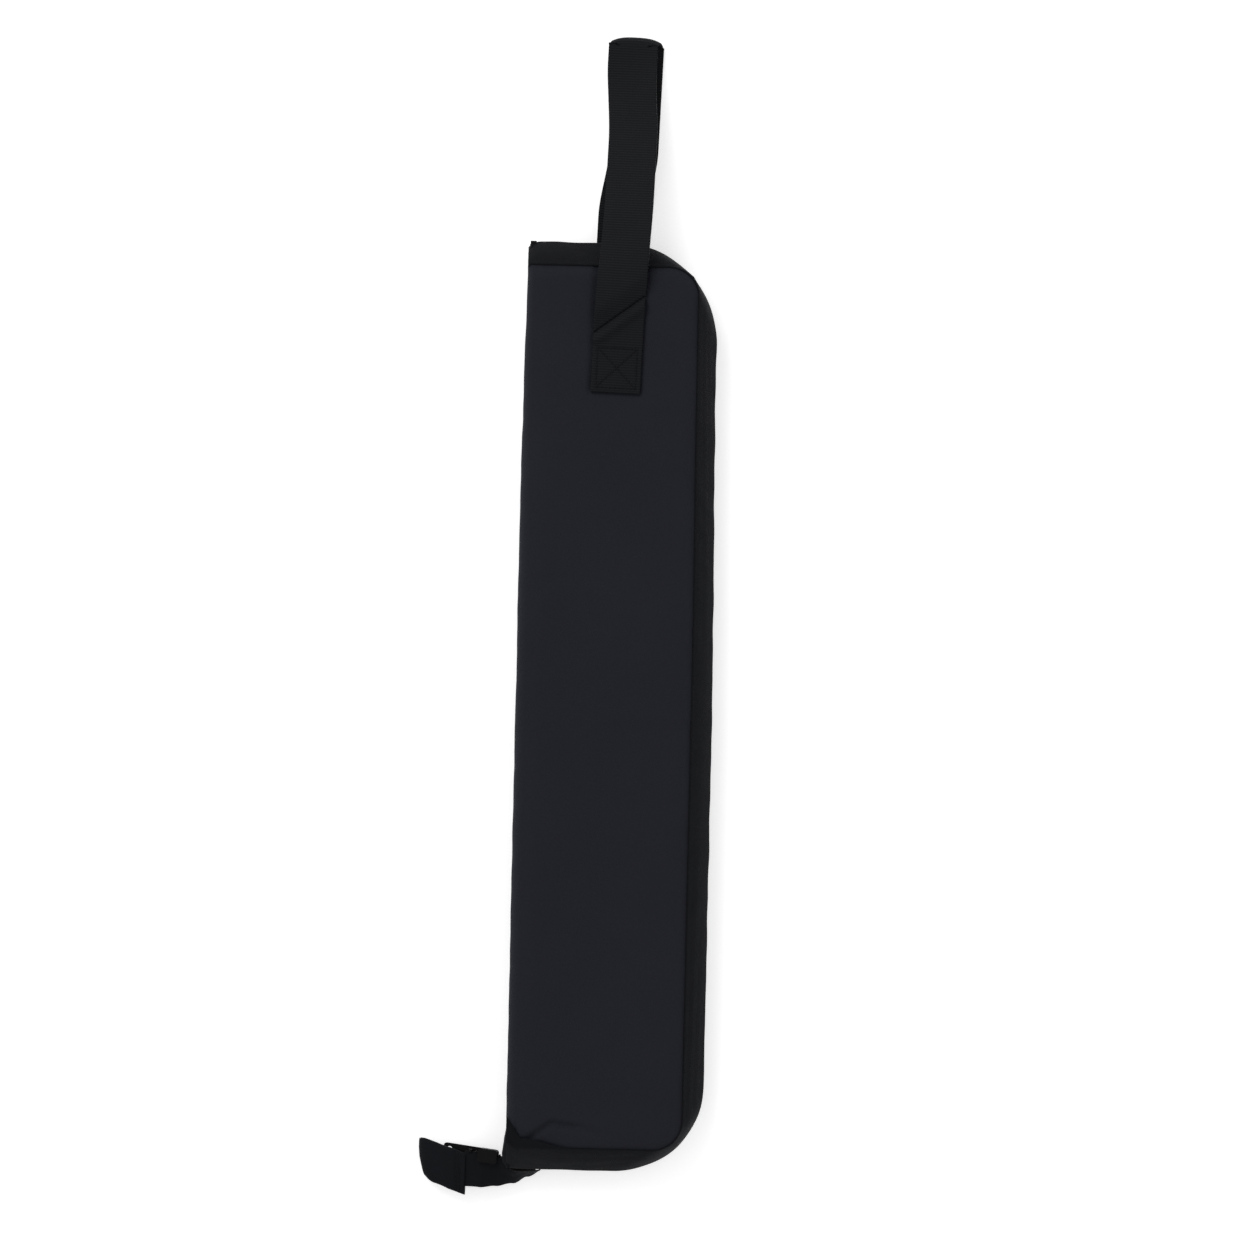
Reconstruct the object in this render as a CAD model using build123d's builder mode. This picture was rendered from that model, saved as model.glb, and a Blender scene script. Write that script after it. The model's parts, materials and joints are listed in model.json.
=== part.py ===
from build123d import *

# Slim padded drum stick bag that opens like a book. X runs across the bag from the spine, Y along it towards the
# handle, and Z up from the surface that it lies on. The origin is in the middle of the closed bag's footprint, on the
# face that it rests on. All sizes are in millimetres.

import os
from math import cos, radians, sin

os.makedirs("parts", exist_ok=True)

# Closed bag
bag_length = 470.0
bag_width = 98.0
bag_height = 28.0
mid_height = bag_height / 2
top_corner = 50.0  # radius of the zip's line at the handle end
bottom_corner = 44.0  # and at the tail end
band = 12.0  # how far the zip stands out beyond the covers

# Layers of a cover, from the outside in
fabric = 0.8
foam = 4.2
lining = 0.5
cover_height = fabric + foam + lining
edge_round = 1.2

# Spine strip
spine_left = -bag_width / 2
spine_thickness = 1.3
spine_margin = 0.4  # each fold beside the strip
cover_left = spine_left + spine_thickness + 0.5

# Covers, inside the zip
cover_right = bag_width / 2 - band
cover_end = bag_length / 2 - band
cover_corner = 15.0
zip_end = bag_length / 2
zip_right = bag_width / 2

# Zip: sloping tapes, and a row of coils on each where they meet
tape_foot = 2.2
tape_inset = 1.1
coil_bottom = 12.0
coil_top = mid_height - 0.15
coil_depth = 1.5
stop_length = 3.0
stop_gap = 0.2
binding_width = 6.0
binding_height = 1.5

# Stick sleeve and elastic keeper, on the back cover's lining
sleeve_left = -45.8
sleeve_right = cover_right - binding_width - 1.2
sleeve_rise = 15.7
sleeve_skin = 0.8
sleeve_round = 4.5
sleeve_bottom = -211.0
sleeve_mouth = 66.0
mouth_binding = 10.0
mouth_binding_skin = 0.4
keeper_width = 22.0
keeper_y = 140.0
keeper_skin = 1.0

# Handle: one length of webbing, sewn to the outside of both covers
webbing_width = 25.0
webbing = 1.25
sewn_x, sewn_y = -2.4, 171.0
handle_lean = radians(1.9)
leg_start = -12.5  # along the webbing, from the middle of its sewn box
leg_lift = 54.0
leg_meet = 156.0
leg_landing = 12.0
fold_turn = 163.5
fold_top = 7.4
meeting_gap = 0.15
bend_radius = 30.0
box_side = 20.0
stitch_height = 0.35
stitch_width = 0.8
dent_clearance = 0.1
dent_margin = 2.2

# Zip tail, folded double, that leaves the bag beside the bottom of the spine
tail_root = Vector(-46.0, -237.0, 13.0)
tail_along = Vector(-47.0, 5.5, -8.0).normalized()
tail_up = (Vector(0, 0, 1) - tail_along * tail_along.Z).normalized()
tail_root_half = 1.0
tail_neck, tail_shoulder = 4.5, 7.5
tail_tape = 0.8
tail_gap = 0.3
tail_coil_edge = -7.0
tail_free_edge = 8.5
tail_coil_width = 1.6
tail_coil_gap = 0.15
tail_coil_height = 1.45
tab_start = 23.5
tab_length = 24.0
tab_half_width = 10.5
tab_half_height = 2.1
tab_end_chamfer = 1.2
tab_seam = 3.0
tail_stop_length = 1.5
tail_stop_half_height = 1.8

# Zip slider on the tail, with its crown and pull underneath
slider_start = 8.5
slider_end = 18.5
slider_wall = 0.8
slider_outside = 2.7
slider_back = tail_coil_edge - tail_coil_width - 1.4
slider_front = -3.0
slider_round = 1.5
crown_width = 1.8
crown_half_length = 3.4
crown_bar = 0.7
crown_drop = 2.6
pin_height = -3.9
pin_diameter = 1.1
pull_thickness = 1.0
pull_width = 6.4
pull_length = 24.0
pull_arm = 1.3
pull_arm_length = 4.6
pull_hole = 3.2


def save(piece, name):
    """Label one finished piece and write it."""
    piece.label = name
    export_step(piece, f"parts/{name}.step")


def turned_over(piece):
    """The same piece for the front cover."""
    return mirror(piece, about=Plane.XY.offset(mid_height), mode=Mode.PRIVATE)


def rounded_outline(left, right, end, top_radius, bottom_radius):
    """Sketch that is square beside the spine and rounded at its two far corners."""
    with BuildSketch() as outline:
        with Locations(((left + right) / 2, 0)):
            Rectangle(right - left, 2 * end)
        fillet(outline.vertices().group_by(Axis.X)[-1].sort_by(Axis.Y)[-1], top_radius)
        fillet(outline.vertices().group_by(Axis.X)[-1].sort_by(Axis.Y)[0], bottom_radius)
    return outline.sketch


def cover_outline(inset=0.0, left=cover_left):
    """Outline of a cover, drawn in by an inset."""
    radius = cover_corner - inset
    return rounded_outline(left, cover_right - inset, cover_end - inset, radius, radius)


def zip_outline(inset=0.0, left=cover_left):
    """Outline of the line where the zip's two rows meet, drawn in by an inset."""
    return rounded_outline(left, zip_right - inset, zip_end - inset, top_corner - inset, bottom_corner - inset)


# ---- padded covers ----

dent_width = webbing_width + 2 * dent_margin
dent_bottom = sewn_y + leg_start - 1.0
dent_length = cover_end - dent_bottom
dent_depth = stitch_height + webbing + dent_clearance
dent_x = sewn_x + (cover_end - sewn_y) * sin(handle_lean) / 2


def dent_sketch(wall=0.0):
    """Rectangle of the hollow under the sewn webbing; it runs out at the cover's end."""
    with BuildSketch() as area:
        with Locations((dent_x, dent_bottom + dent_length / 2)):
            Rectangle(dent_width + 2 * wall, dent_length + 2 * wall)
    return area.sketch


def outer_fabric():
    """Woven outer cloth: a shallow tray round the foam, pressed in under the handle."""
    with BuildPart() as cloth:
        add(cover_outline())
        extrude(amount=fabric + foam)
        fillet(cloth.faces().sort_by(Axis.Z)[0].edges(), edge_round)
        with BuildSketch(Plane.XY.offset(fabric)):
            add(cover_outline(fabric, cover_left + fabric))
            add(dent_sketch(fabric), mode=Mode.SUBTRACT)
        extrude(amount=foam, mode=Mode.SUBTRACT)
        with BuildSketch(Plane.XY.offset(dent_depth + fabric)):
            add(dent_sketch(fabric))
            add(cover_outline(fabric, cover_left + fabric), mode=Mode.INTERSECT)
        extrude(amount=foam, mode=Mode.SUBTRACT)
        add(dent_sketch())
        extrude(amount=dent_depth, mode=Mode.SUBTRACT)
    return cloth.part


def foam_pad():
    """Closed-cell foam core, thinner under the handle."""
    with BuildPart() as pad:
        with BuildSketch(Plane.XY.offset(fabric)):
            add(cover_outline(fabric, cover_left + fabric))
        extrude(amount=foam)
        add(dent_sketch(fabric))
        extrude(amount=dent_depth + fabric, mode=Mode.SUBTRACT)
    return pad.part


def inner_lining():
    """Thin lining cloth over the foam."""
    with BuildPart() as sheet:
        with BuildSketch(Plane.XY.offset(fabric + foam)):
            add(cover_outline())
        extrude(amount=lining)
    return sheet.part


# ---- zip ----

open_left = cover_left - band  # past the end of every strip, so that its inner outline cuts it open


def zip_tape():
    """Woven tape that slopes from the edge of a cover out to the zip's line, on three sides."""
    with BuildPart() as tape:
        with BuildSketch(Plane.XY.offset(tape_foot)):
            add(cover_outline(-tape_inset))
        with BuildSketch(Plane.XY.offset(coil_bottom)):
            add(zip_outline())
        loft(ruled=True)
        with BuildSketch(Plane.XY.offset(tape_foot)):
            add(cover_outline(left=open_left))
        with BuildSketch(Plane.XY.offset(coil_bottom)):
            add(zip_outline(tape_inset, open_left))
        loft(ruled=True, mode=Mode.SUBTRACT)
    return tape.part


def zip_coil():
    """Row of coils along the outer edge of a tape, up to its top stop."""
    with BuildPart() as row:
        with BuildSketch(Plane.XY.offset(coil_bottom)):
            add(zip_outline())
            add(zip_outline(coil_depth, open_left), mode=Mode.SUBTRACT)
            with Locations((cover_left, zip_end)):
                Rectangle(2 * (stop_length + stop_gap), 2 * band, mode=Mode.SUBTRACT)
        extrude(amount=coil_top - coil_bottom)
    return row.part


def top_stop():
    """Crimped metal stop at the spine end of a row of coils."""
    with BuildPart() as stop:
        with BuildSketch(Plane.XY.offset(coil_bottom)):
            with Locations((cover_left + stop_length / 2, zip_end - coil_depth / 2)):
                Rectangle(stop_length, coil_depth)
        extrude(amount=coil_top - coil_bottom)
        fillet(stop.edges().filter_by(Axis.X).group_by(Axis.Y)[-1], coil_depth / 4)
    return stop.part


def seam_binding():
    """Bias binding over the raw edges of a cover, inside the bag."""
    with BuildPart() as strip:
        with BuildSketch(Plane.XY.offset(cover_height)):
            add(cover_outline())
            add(cover_outline(binding_width, open_left), mode=Mode.SUBTRACT)
        extrude(amount=binding_height)
    return strip.part


cover_layers = {
    "outer_fabric": outer_fabric(),
    "foam_pad": foam_pad(),
    "lining": inner_lining(),
    "zip_tape": zip_tape(),
    "zip_coil": zip_coil(),
    "zip_top_stop": top_stop(),
    "seam_binding": seam_binding(),
}
for layer_name, layer in cover_layers.items():
    front_layer = turned_over(layer)
    save(layer, f"back_{layer_name}")
    save(front_layer, f"front_{layer_name}")


# ---- spine ----

spine_plane = Plane((spine_left, 0, mid_height), x_dir=(0, 1, 0), z_dir=(1, 0, 0))
spine_half_height = mid_height - spine_margin

with BuildPart() as spine_fabric:
    with BuildSketch(spine_plane):
        Rectangle(2 * cover_end, 2 * spine_half_height)
    extrude(amount=fabric)
save(spine_fabric.part, "spine_fabric")

with BuildPart() as spine_lining:
    with BuildSketch(spine_plane.offset(fabric)):
        Rectangle(2 * cover_end, 2 * spine_half_height)
    extrude(amount=spine_thickness - fabric)
save(spine_lining.part, "spine_lining")


def spine_gusset(end):
    """Tapered patch that closes the zip band beside the spine; end is 1 at the handle and -1 at the tail."""
    wide = mid_height - tape_foot
    narrow = coil_top - coil_bottom
    with BuildPart() as patch:
        with BuildSketch(spine_plane):
            with BuildLine():
                Polyline(
                    (end * cover_end, -wide),
                    (end * zip_end, -narrow),
                    (end * zip_end, narrow),
                    (end * cover_end, wide),
                    close=True,
                )
            make_face()
        extrude(amount=spine_thickness)
    return patch.part


save(spine_gusset(1), "spine_top_gusset")
save(spine_gusset(-1), "spine_bottom_gusset")


# ---- stick sleeve and elastic keeper ----

pocket_width = (sleeve_right - sleeve_left) / 2
pocket_centres = (sleeve_left + pocket_width / 2, sleeve_right - pocket_width / 2)
sleeve_middle = (sleeve_left + sleeve_right) / 2


def arch(centre, width, rise, rounding):
    """Face of one arch that stands on the lining, in (across, up)."""
    with BuildSketch() as face:
        with Locations((centre, rise / 2)):
            Rectangle(width, rise)
        fillet(face.vertices().group_by(Axis.Y)[-1], rounding)
    return face.sketch


def double_arch(start, end, skin, outset=0.0):
    """Two arches side by side, sewn down along both sides and between them, from start to end along the bag."""
    width = sleeve_right - sleeve_left + 2 * outset
    with BuildPart() as arches:
        with BuildSketch(Plane((0, end, cover_height), x_dir=(1, 0, 0), z_dir=(0, -1, 0))):
            add(arch(sleeve_middle, width, sleeve_rise + outset, sleeve_round + outset))
            for centre in pocket_centres:
                hollow = arch(centre, pocket_width - 2 * skin, sleeve_rise - skin, sleeve_round - skin)
                add(hollow, mode=Mode.SUBTRACT)
        extrude(amount=end - start)
    return arches.part


with BuildPart() as stick_sleeve:
    add(double_arch(sleeve_bottom + sleeve_skin, sleeve_mouth, sleeve_skin))
    with BuildSketch(Plane((0, sleeve_bottom + sleeve_skin, cover_height), x_dir=(1, 0, 0), z_dir=(0, -1, 0))):
        add(arch(sleeve_middle, sleeve_right - sleeve_left, sleeve_rise, sleeve_round))
    extrude(amount=sleeve_skin)
save(stick_sleeve.part, "stick_sleeve")

with BuildPart() as sleeve_binding:
    add(double_arch(sleeve_mouth, sleeve_mouth + mouth_binding, sleeve_skin, mouth_binding_skin))
save(sleeve_binding.part, "sleeve_binding")

with BuildPart() as elastic_keeper:
    add(double_arch(keeper_y - keeper_width / 2, keeper_y + keeper_width / 2, keeper_skin))
save(elastic_keeper.part, "elastic_keeper")


# ---- handle ----

handle_direction = Vector(sin(handle_lean), cos(handle_lean), 0)
handle_side = Vector(cos(handle_lean), -sin(handle_lean), 0)
handle_plane = Plane((sewn_x, sewn_y, 0), x_dir=handle_direction, z_dir=handle_side)
back_line = stitch_height + webbing / 2
front_line = bag_height - back_line
fold_line = fold_top - webbing / 2
fold_radius = (fold_line - back_line) / 2

with BuildPart() as handle_back_leg:
    with BuildSketch(handle_plane):
        with BuildLine():
            Line((leg_start, back_line), (fold_turn, back_line))
            ThreePointArc(
                (fold_turn, back_line),
                (fold_turn + fold_radius, back_line + fold_radius),
                (fold_turn, fold_line),
            )
            Line((fold_turn, fold_line), (leg_meet + meeting_gap, fold_line))
        trace(line_width=webbing)
    extrude(amount=webbing_width / 2, both=True)
save(handle_back_leg.part, "handle_back_leg")

with BuildPart() as handle_front_leg:
    with BuildSketch(handle_plane):
        with BuildLine():
            FilletPolyline(
                (leg_start, front_line),
                (leg_lift, front_line),
                (leg_meet - leg_landing, fold_line),
                (leg_meet - meeting_gap, fold_line),
                radius=bend_radius,
            )
        trace(line_width=webbing)
    extrude(amount=webbing_width / 2, both=True)
save(handle_front_leg.part, "handle_front_leg")


def box_stitching(height):
    """Square of stitches with a cross in it, from a height up by the thickness of the thread."""
    diagonal = box_side * 2**0.5
    with BuildPart() as threads:
        with BuildSketch(Plane((sewn_x, sewn_y, height), x_dir=handle_side, z_dir=(0, 0, 1))):
            Rectangle(box_side, box_side)
            Rectangle(box_side - 2 * stitch_width, box_side - 2 * stitch_width, mode=Mode.SUBTRACT)
            with BuildSketch(mode=Mode.PRIVATE) as cross:
                Rectangle(diagonal, stitch_width, rotation=45)
                Rectangle(diagonal, stitch_width, rotation=-45)
                Rectangle(box_side, box_side, mode=Mode.INTERSECT)
            add(cross.sketch)
        extrude(amount=stitch_height)
    return threads.part


save(box_stitching(0), "handle_back_stitching")
save(box_stitching(bag_height - stitch_height), "handle_front_stitching")


# ---- zip tail ----


def tail_plane(height):
    """Plane of the tail: along it from its root, across it away from the coils, and raised by a height."""
    return Plane(tail_root + tail_up * height, x_dir=tail_along, z_dir=tail_up)


def tail_layer(low):
    """One tape of the tail, narrow at its root and full width from the bag to the end tab."""
    with BuildPart() as layer:
        with BuildSketch(tail_plane(low)):
            with BuildLine():
                Polyline(
                    (-tail_root_half, -tail_root_half),
                    (tail_neck, -tail_root_half),
                    (tail_shoulder, tail_coil_edge),
                    (tab_start, tail_coil_edge),
                    (tab_start, tail_free_edge),
                    (tail_shoulder, tail_free_edge),
                    (tail_neck, tail_root_half),
                    (-tail_root_half, tail_root_half),
                    close=True,
                )
            make_face()
        extrude(amount=tail_tape)
    return layer.part


def tail_block(start, end, near, far, low, high):
    """Block in the tail's own directions: along it, across it and through it."""
    with BuildPart() as block:
        with BuildSketch(tail_plane(low)):
            with Locations(((start + end) / 2, (near + far) / 2)):
                Rectangle(end - start, far - near)
        extrude(amount=high - low)
    return block.part


tail_coil_outside = tail_coil_edge - tail_coil_width
tail_coil_end = tab_start - tail_stop_length - stop_gap


def tail_coil(low):
    """Row of coils along the folded edge of the tail."""
    high = low + tail_coil_height
    return tail_block(tail_shoulder, tail_coil_end, tail_coil_outside, tail_coil_edge, low, high)


save(tail_layer(tail_gap), "tail_upper_tape")
save(tail_layer(-tail_gap - tail_tape), "tail_lower_tape")
save(tail_coil(tail_coil_gap), "tail_upper_coil")
save(tail_coil(-tail_coil_gap - tail_coil_height), "tail_lower_coil")
save(
    tail_block(
        tab_start - tail_stop_length,
        tab_start,
        tail_coil_outside,
        tail_coil_edge,
        -tail_stop_half_height,
        tail_stop_half_height,
    ),
    "tail_bottom_stop",
)

tab_middle = (tail_free_edge + tail_coil_edge) / 2
tab_end = tab_start + tab_length

with BuildPart() as tail_end_tab:
    add(
        tail_block(
            tab_start,
            tab_end,
            tab_middle - tab_half_width,
            tab_middle + tab_half_width,
            -tab_half_height,
            tab_half_height,
        )
    )
    chamfer(tail_end_tab.faces().sort_by(Axis(tail_root, tail_along))[-1].edges(), tab_end_chamfer)
save(tail_end_tab.part, "tail_end_tab")

with BuildPart() as tab_stitching:
    for seam_row in (tab_seam, tab_seam + 2 * stitch_width):
        for low in (tab_half_height, -tab_half_height - stitch_height):
            with BuildSketch(tail_plane(low)):
                with Locations((tab_start + seam_row, tab_middle)):
                    Rectangle(stitch_width, 2 * tab_half_width - 2 * stitch_width)
            extrude(amount=stitch_height)
save(tab_stitching.part, "tab_stitching")


# ---- slider ----

slider_middle = (slider_start + slider_end) / 2
pull_across = (slider_back + slider_front) / 2

with BuildPart() as slider_body:
    add(tail_block(slider_start, slider_end, slider_back, slider_front, -slider_outside, slider_outside))
    upright = slider_body.edges().filter_by(Axis(tail_root, tail_up))
    fillet(upright, slider_round)
    channel = slider_outside - slider_wall
    cut_back = slider_back + slider_wall
    cut_front = slider_front + slider_wall
    add(
        tail_block(slider_start - slider_wall, slider_end + slider_wall, cut_back, cut_front, -channel, channel),
        mode=Mode.SUBTRACT,
    )
save(slider_body.part, "slider_body")

with BuildPart() as slider_crown:
    crown_back = pull_across - crown_width / 2
    crown_front = pull_across + crown_width / 2
    crown_low = -slider_outside - crown_drop
    add(
        tail_block(
            slider_middle - crown_half_length,
            slider_middle + crown_half_length,
            crown_back,
            crown_front,
            crown_low,
            -slider_outside,
        )
    )
    add(
        tail_block(
            slider_middle - crown_half_length + crown_bar,
            slider_middle + crown_half_length - crown_bar,
            crown_back,
            crown_front,
            crown_low + crown_bar,
            -slider_outside,
        ),
        mode=Mode.SUBTRACT,
    )
save(slider_crown.part, "slider_crown")

with BuildPart() as pull_tab:
    pull_low = pin_height - pull_thickness / 2
    pull_high = pin_height + pull_thickness / 2
    with BuildSketch(tail_plane(pull_low)):
        with Locations((slider_middle + pull_length / 2, pull_across)):
            RectangleRounded(pull_length, pull_width, pull_width / 4)
        with Locations((slider_middle + pull_arm_length / 2, pull_across)):
            Rectangle(pull_arm_length, pull_width - 2 * pull_arm, mode=Mode.SUBTRACT)
        with Locations((slider_middle + pull_length - pull_hole, pull_across)):
            Circle(pull_hole / 2, mode=Mode.SUBTRACT)
    extrude(amount=pull_high - pull_low)
    pin_start = tail_root + tail_along * slider_middle + tail_up * pin_height
    pin_across = tail_up.cross(tail_along)
    with BuildSketch(Plane(pin_start + pin_across * (pull_across - pull_width / 2), z_dir=pin_across)):
        Circle(pin_diameter / 2)
    extrude(amount=pull_width)
save(pull_tab.part, "pull_tab")
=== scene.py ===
# Slim padded drum stick bag, lying flat and seen from above. Everything is in metres, in the frame of the CAD
# model: X runs across the bag from its spine, Y along it towards the handle, and Z up from the floor.

import json
import math

import bpy
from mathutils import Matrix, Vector, noise


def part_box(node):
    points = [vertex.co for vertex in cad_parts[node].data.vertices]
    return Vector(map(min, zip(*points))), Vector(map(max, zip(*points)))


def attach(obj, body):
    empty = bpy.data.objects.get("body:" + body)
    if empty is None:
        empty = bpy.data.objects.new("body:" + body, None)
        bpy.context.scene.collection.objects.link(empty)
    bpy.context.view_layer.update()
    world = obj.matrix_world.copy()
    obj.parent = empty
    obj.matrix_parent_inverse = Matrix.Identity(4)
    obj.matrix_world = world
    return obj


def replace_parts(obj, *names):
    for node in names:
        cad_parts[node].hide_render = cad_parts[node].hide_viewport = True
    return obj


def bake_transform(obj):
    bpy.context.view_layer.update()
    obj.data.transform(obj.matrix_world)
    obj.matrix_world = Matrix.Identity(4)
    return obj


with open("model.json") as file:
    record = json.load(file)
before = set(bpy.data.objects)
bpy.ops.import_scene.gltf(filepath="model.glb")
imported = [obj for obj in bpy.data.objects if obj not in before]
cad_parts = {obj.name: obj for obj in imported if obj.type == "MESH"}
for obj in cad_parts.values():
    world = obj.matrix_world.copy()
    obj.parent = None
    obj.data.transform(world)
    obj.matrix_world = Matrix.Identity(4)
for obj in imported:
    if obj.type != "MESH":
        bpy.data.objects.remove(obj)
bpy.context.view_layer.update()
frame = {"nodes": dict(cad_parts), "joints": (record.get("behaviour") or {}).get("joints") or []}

MM = 0.001

# ---- places and sizes, from the frame ----

cover_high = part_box("front_outer_fabric")[1]
back_coil_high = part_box("back_zip_coil")[1]
front_coil_low, front_coil_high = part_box("front_zip_coil")
joints = {joint["name"]: joint for joint in frame["joints"]}

SPINE_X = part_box("spine_fabric")[0].x
RIGHT = cover_high.x  # edge of the covers, where the zip tape is sewn on
END = cover_high.y
ZIP_RIGHT = back_coil_high.x
ZIP_END = back_coil_high.y
TOP = cover_high.z
MIDDLE = TOP / 2
SEAM_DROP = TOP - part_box("front_zip_tape")[1].z  # how far below the top the tape is sewn on
CORNER = 15 * MM
ZIP_TOP_CORNER = 50 * MM
ZIP_BOTTOM_CORNER = 44 * MM
FOLD = 4.5 * MM  # radius of the fold beside the spine
CLOTH = 0.7 * MM
LINING_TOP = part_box("back_lining")[1].z  # of the back cover; the front one's is as far below the top
UP = Vector((0, 0, 1))

TAIL_ROOT = Vector(joints["tail_turn"]["pos_m"])
TAIL_ALONG = -Vector(joints["slider_run"]["axis"]).normalized()
TAIL_UP = (UP - TAIL_ALONG * TAIL_ALONG.z).normalized()
TAIL_ACROSS = TAIL_UP.cross(TAIL_ALONG)

# ---- mesh helpers ----


def smooth(low, high, value):
    """0 at low, 1 at high, and an S-curve between; low may be the larger of the two."""
    share = min(1.0, max(0.0, (value - low) / (high - low)))
    return share * share * (3 - 2 * share)


def mix(a, b, share):
    return a + (b - a) * share


def ripple(x, y, scale, seed=0.0):
    """Soft random height from -1 to 1, with hills about scale apart."""
    return noise.noise(Vector((x / scale, y / scale, seed)))


def make_object(name, vertices, faces, material, uvs=None, wear_and_highlight=None):
    """Smooth-shaded mesh object, with UVs in metres along the cloth and an attribute from 0 to 1 for wear and
    painted highlight.
    """
    mesh = bpy.data.meshes.new(name)
    mesh.from_pydata([tuple(v) for v in vertices], [], faces)
    mesh.validate()
    for polygon in mesh.polygons:
        polygon.use_smooth = True
    if uvs:
        layer = mesh.uv_layers.new(name="cloth")
        for loop in mesh.loops:
            layer.data[loop.index].uv = uvs[loop.vertex_index]
    if wear_and_highlight:
        attribute = mesh.attributes.new("wear_and_highlight", "FLOAT", "POINT")
        attribute.data.foreach_set("value", wear_and_highlight)
    piece = bpy.data.objects.new(name, mesh)
    bpy.context.collection.objects.link(piece)
    mesh.materials.append(material)
    return piece


def grid(name, rows, material, wear_and_highlight=None, around=False):
    """Cloth through rows of points; around joins the last point of each row to its first."""
    across = len(rows[0])
    vertices = [point for row in rows for point in row]
    faces = []
    for i in range(len(rows) - 1):
        for j in range(across if around else across - 1):
            k = (j + 1) % across
            faces.append((i * across + j, i * across + k, (i + 1) * across + k, (i + 1) * across + j))
    uvs = []
    along = 0.0
    middle = across // 2
    for i, row in enumerate(rows):
        if i:
            along += (Vector(row[middle]) - Vector(rows[i - 1][middle])).length
        width = 0.0
        for j, point in enumerate(row):
            if j:
                width += (Vector(point) - Vector(row[j - 1])).length
            uvs.append((width, along))
    flat_wear_and_highlight = [value for row in wear_and_highlight for value in row] if wear_and_highlight else None
    return make_object(name, vertices, faces, material, uvs, flat_wear_and_highlight)


def thicken(piece, thickness, offset=0.0):
    """Gives a sheet its thickness; offset -1 grows it inwards, 1 outwards."""
    solid = piece.modifiers.new("thickness", "SOLIDIFY")
    solid.thickness = thickness
    solid.offset = offset
    solid.use_even_offset = False
    return piece


def tube_rings(path, radius, sides):
    """Rings of points round a line, for join_tubes."""
    rows = []
    for i, point in enumerate(path):
        ahead = path[min(i + 1, len(path) - 1)] - path[max(i - 1, 0)]
        side = ahead.cross(UP)
        side = side.normalized() if side.length > 1e-9 else Vector((1, 0, 0))
        over = side.cross(ahead).normalized()
        row = []
        for k in range(sides):
            angle = 2 * math.pi * k / sides
            row.append(point + side * (radius * math.cos(angle)) + over * (radius * math.sin(angle)))
        rows.append(row)
    return rows


def join_tubes(name, tubes, material):
    """One object from many small closed tubes, each a list of rings."""
    vertices, faces = [], []
    for rows in tubes:
        start = len(vertices)
        sides = len(rows[0])
        for row in rows:
            vertices.extend(row)
        for i in range(len(rows) - 1):
            for j in range(sides):
                k = (j + 1) % sides
                a = start + i * sides
                faces.append((a + j, a + k, a + sides + k, a + sides + j))
        last = start + (len(rows) - 1) * sides
        faces.append(tuple(start + k for k in reversed(range(sides))))
        faces.append(tuple(last + k for k in range(sides)))
    return make_object(name, vertices, faces, material)


def stitch(start, end, up, radius):
    """One short stitch of thread that dips into the cloth at both ends."""
    path = []
    steps, sides = 4, 6
    for k in range(steps + 1):
        share = k / steps
        lift = radius * (1.6 * math.sin(math.pi * share) - 0.8)
        path.append(start.lerp(end, share) + up * lift)
    return tube_rings(path, radius, sides)


def stitch_row(points, pitch, length, up, radius):
    """Stitches at a pitch along a line of points."""
    tubes = []
    travelled, goal = 0.0, 0.0
    for a, b in zip(points, points[1:]):
        run = (b - a).length
        while goal < travelled + run:
            start = a.lerp(b, (goal - travelled) / run)
            end = start + (b - a).normalized() * length
            tubes.append(stitch(start, end, up, radius))
            goal += pitch
        travelled += run
    return tubes


# ---- materials ----


def link(tree, source, target):
    tree.links.new(source, target)


def math_node(tree, operation, first, second=None, third=None):
    """A math node's result; inputs may be sockets or numbers."""
    node = tree.nodes.new("ShaderNodeMath")
    node.operation = operation
    for index, value in enumerate((first, second, third)):
        if value is None:
            continue
        if isinstance(value, (int, float)):
            node.inputs[index].default_value = value
        else:
            link(tree, value, node.inputs[index])
    return node.outputs[0]


def noise_node(tree, vector, scale, detail=2.0, roughness=0.5):
    node = tree.nodes.new("ShaderNodeTexNoise")
    node.inputs["Scale"].default_value = scale
    node.inputs["Detail"].default_value = detail
    node.inputs["Roughness"].default_value = roughness
    link(tree, vector, node.inputs["Vector"])
    return node.outputs["Fac"]


def weave_height(tree, coordinates, kind, pitch):
    """Height of the threads, from about 0 to 1, in UVs that are metres along the cloth."""
    split = tree.nodes.new("ShaderNodeSeparateXYZ")
    link(tree, coordinates, split.inputs[0])
    u, v = split.outputs[0], split.outputs[1]
    turn = 2 * math.pi / pitch
    if kind == "plain":
        warp = math_node(tree, "SINE", math_node(tree, "MULTIPLY", u, turn))
        weft = math_node(tree, "SINE", math_node(tree, "MULTIPLY", v, turn))
        product = math_node(tree, "MULTIPLY", warp, weft)
        return math_node(tree, "MULTIPLY_ADD", product, 0.5, 0.5)
    if kind == "ribs":
        across = math_node(tree, "SINE", math_node(tree, "MULTIPLY", v, turn))
        fine = math_node(tree, "SINE", math_node(tree, "MULTIPLY", u, turn * 1.6))
        both = math_node(tree, "MULTIPLY_ADD", fine, 0.25, across)
        return math_node(tree, "MULTIPLY_ADD", both, 0.4, 0.5)
    # herringbone: diagonal ribs that turn back every few millimetres
    zigzag = math_node(tree, "PINGPONG", u, pitch * 4)
    slant = math_node(tree, "MULTIPLY", math_node(tree, "ADD", v, zigzag), turn)
    return math_node(tree, "MULTIPLY_ADD", math_node(tree, "SINE", slant), 0.5, 0.5)


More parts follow.
